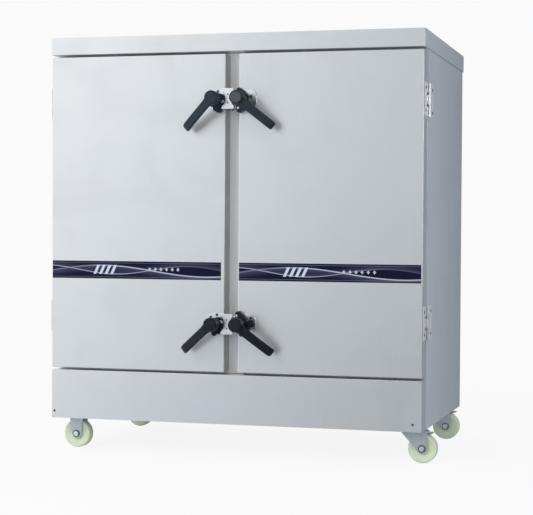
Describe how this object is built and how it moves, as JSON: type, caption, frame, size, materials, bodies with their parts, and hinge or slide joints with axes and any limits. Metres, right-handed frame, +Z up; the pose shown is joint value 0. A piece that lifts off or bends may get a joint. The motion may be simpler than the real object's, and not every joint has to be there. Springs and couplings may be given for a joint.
{
  "type": "double-door food steaming cabinet",
  "caption": "Stainless steel steam cabinet for rice and buns: twin doors with clamp latches, trays on runners, water tank in the base, castors with brakes.",
  "frame": {"origin": "on the floor, under the middle of the object's box with handles, hinges, castors and vent", "axes": "+X to the right of someone facing the doors, +Y from the doors to the back, +Z up"},
  "size_m": [1.3838, 0.879, 1.4466],
  "materials": {
    "case_steel": "fine vertical grain, satin",
    "inner_steel": "smooth mill finish",
    "frame_steel": "dull galvanised",
    "hinge_steel": "bright",
    "latch_zinc": "bright plated",
    "handle_black": "smooth moulded, satin",
    "castor_zinc": "zinc plated",
    "wheel_nylon": "moulded, satin",
    "gasket_silicone": "soft matte",
    "foam": "cut foam",
    "heater_alloy": "oxidised sheath",
    "valve_brass": "plated, worn",
    "lever_red": "dipped plastic",
    "gland_nylon": "moulded"
  },
  "bodies": {
    "cabinet": {"top_cap": "case_steel", "left_side_panel": "case_steel", "right_side_panel": "case_steel", "back_panel": "case_steel", "base_front_panel": "case_steel", "chassis": "frame_steel", "centre_mullion": "case_steel", "insulation": "foam", "water_tank": "inner_steel", "heating_element": "heater_alloy", "steam_vent": "inner_steel", "drain_valve": "valve_brass", "cable_gland": "gland_nylon", "upper_keeper": "latch_zinc", "lower_keeper": "latch_zinc", "left_chamber_liner": "inner_steel", "left_lower_tray": "inner_steel", "left_upper_tray": "inner_steel", "left_upper_hinge_case_leaf": "hinge_steel", "left_lower_hinge_case_leaf": "hinge_steel", "right_chamber_liner": "inner_steel", "right_lower_tray": "inner_steel", "right_upper_tray": "inner_steel", "right_upper_hinge_case_leaf": "hinge_steel", "right_lower_hinge_case_leaf": "hinge_steel", "front_left_castor_fork": "castor_zinc", "front_left_castor_axle": "hinge_steel", "rear_left_castor_fork": "castor_zinc", "rear_left_castor_axle": "hinge_steel", "front_right_castor_plate": "castor_zinc", "rear_right_castor_plate": "castor_zinc"},
    "left_door": {"left_door_shell": "case_steel", "left_door_inner_panel": "inner_steel", "left_door_gasket": "gasket_silicone", "left_upper_hinge_door_leaf": "hinge_steel", "left_lower_hinge_door_leaf": "hinge_steel", "left_upper_latch_plate": "latch_zinc", "left_lower_latch_plate": "latch_zinc"},
    "right_door": {"right_door_shell": "case_steel", "right_door_inner_panel": "inner_steel", "right_door_gasket": "gasket_silicone", "right_upper_hinge_door_leaf": "hinge_steel", "right_lower_hinge_door_leaf": "hinge_steel", "right_upper_latch_plate": "latch_zinc", "right_lower_latch_plate": "latch_zinc"},
    "left_upper_latch_handle": {"left_upper_latch_handle": "handle_black"},
    "left_lower_latch_handle": {"left_lower_latch_handle": "handle_black"},
    "right_upper_latch_handle": {"right_upper_latch_handle": "handle_black"},
    "right_lower_latch_handle": {"right_lower_latch_handle": "handle_black"},
    "front_left_castor_wheel": {"front_left_castor_wheel": "wheel_nylon"},
    "rear_left_castor_wheel": {"rear_left_castor_wheel": "wheel_nylon"},
    "front_right_castor_fork": {"front_right_castor_fork": "castor_zinc", "front_right_castor_axle": "hinge_steel"},
    "front_right_castor_wheel": {"front_right_castor_wheel": "wheel_nylon"},
    "front_right_castor_brake_pedal": {"front_right_castor_brake_pedal": "castor_zinc"},
    "rear_right_castor_fork": {"rear_right_castor_fork": "castor_zinc", "rear_right_castor_axle": "hinge_steel"},
    "rear_right_castor_wheel": {"rear_right_castor_wheel": "wheel_nylon"},
    "rear_right_castor_brake_pedal": {"rear_right_castor_brake_pedal": "castor_zinc"},
    "drain_valve_lever": {"drain_valve_lever": "lever_red"}
  },
  "joints": [
    {"name": "left_door_swing", "type": "hinge", "parent": "cabinet", "child": "left_door", "pos_m": [-0.68544, -0.2935, 0.835], "axis": [0, 0, -1], "range_deg": [0, 180]},
    {"name": "right_door_swing", "type": "hinge", "parent": "cabinet", "child": "right_door", "pos_m": [0.66216, -0.2935, 0.835], "axis": [0, 0, 1], "range_deg": [0, 180]},
    {"name": "left_upper_latch_handle_turn", "type": "hinge", "parent": "left_door", "child": "left_upper_latch_handle", "pos_m": [-0.05564, -0.3475, 1.221], "axis": [0, -1, 0], "range_deg": [0, 48]},
    {"name": "left_lower_latch_handle_turn", "type": "hinge", "parent": "left_door", "child": "left_lower_latch_handle", "pos_m": [-0.05564, -0.3475, 0.46], "axis": [0, -1, 0], "range_deg": [0, 51]},
    {"name": "right_upper_latch_handle_turn", "type": "hinge", "parent": "right_door", "child": "right_upper_latch_handle", "pos_m": [0.03236, -0.3475, 1.221], "axis": [0, 1, 0], "range_deg": [0, 50]},
    {"name": "right_lower_latch_handle_turn", "type": "hinge", "parent": "right_door", "child": "right_lower_latch_handle", "pos_m": [0.03236, -0.3475, 0.46], "axis": [0, 1, 0], "range_deg": [0, 50]},
    {"name": "front_left_castor_spin", "type": "hinge", "parent": "cabinet", "child": "front_left_castor_wheel", "pos_m": [-0.61464, -0.2625, 0.05], "axis": [0, 1, 0], "continuous": true},
    {"name": "rear_left_castor_spin", "type": "hinge", "parent": "cabinet", "child": "rear_left_castor_wheel", "pos_m": [-0.61464, 0.2795, 0.05], "axis": [0, 1, 0], "continuous": true},
    {"name": "front_right_castor_swivel", "type": "hinge", "parent": "cabinet", "child": "front_right_castor_fork", "pos_m": [0.60236, -0.2625, 0.1202], "axis": [0, 0, 1], "continuous": true},
    {"name": "front_right_castor_spin", "type": "hinge", "parent": "front_right_castor_fork", "child": "front_right_castor_wheel", "pos_m": [0.64236, -0.2625, 0.05], "axis": [0, 1, 0], "continuous": true},
    {"name": "front_right_castor_brake", "type": "hinge", "parent": "front_right_castor_fork", "child": "front_right_castor_brake_pedal", "pos_m": [0.65436, -0.2625, 0.103], "axis": [0, 1, 0], "range_deg": [0, 13]},
    {"name": "rear_right_castor_swivel", "type": "hinge", "parent": "cabinet", "child": "rear_right_castor_fork", "pos_m": [0.58036, 0.2795, 0.1202], "axis": [0, 0, 1], "continuous": true},
    {"name": "rear_right_castor_spin", "type": "hinge", "parent": "rear_right_castor_fork", "child": "rear_right_castor_wheel", "pos_m": [0.62036, 0.2795, 0.05], "axis": [0, 1, 0], "continuous": true},
    {"name": "rear_right_castor_brake", "type": "hinge", "parent": "rear_right_castor_fork", "child": "rear_right_castor_brake_pedal", "pos_m": [0.63236, 0.2795, 0.103], "axis": [0, 1, 0], "range_deg": [0, 13]},
    {"name": "drain_lever_turn", "type": "hinge", "parent": "cabinet", "child": "drain_valve_lever", "pos_m": [0.23836, 0.3925, 0.1646], "axis": [0, 0, 1], "range_deg": [0, 90]}
  ]
}
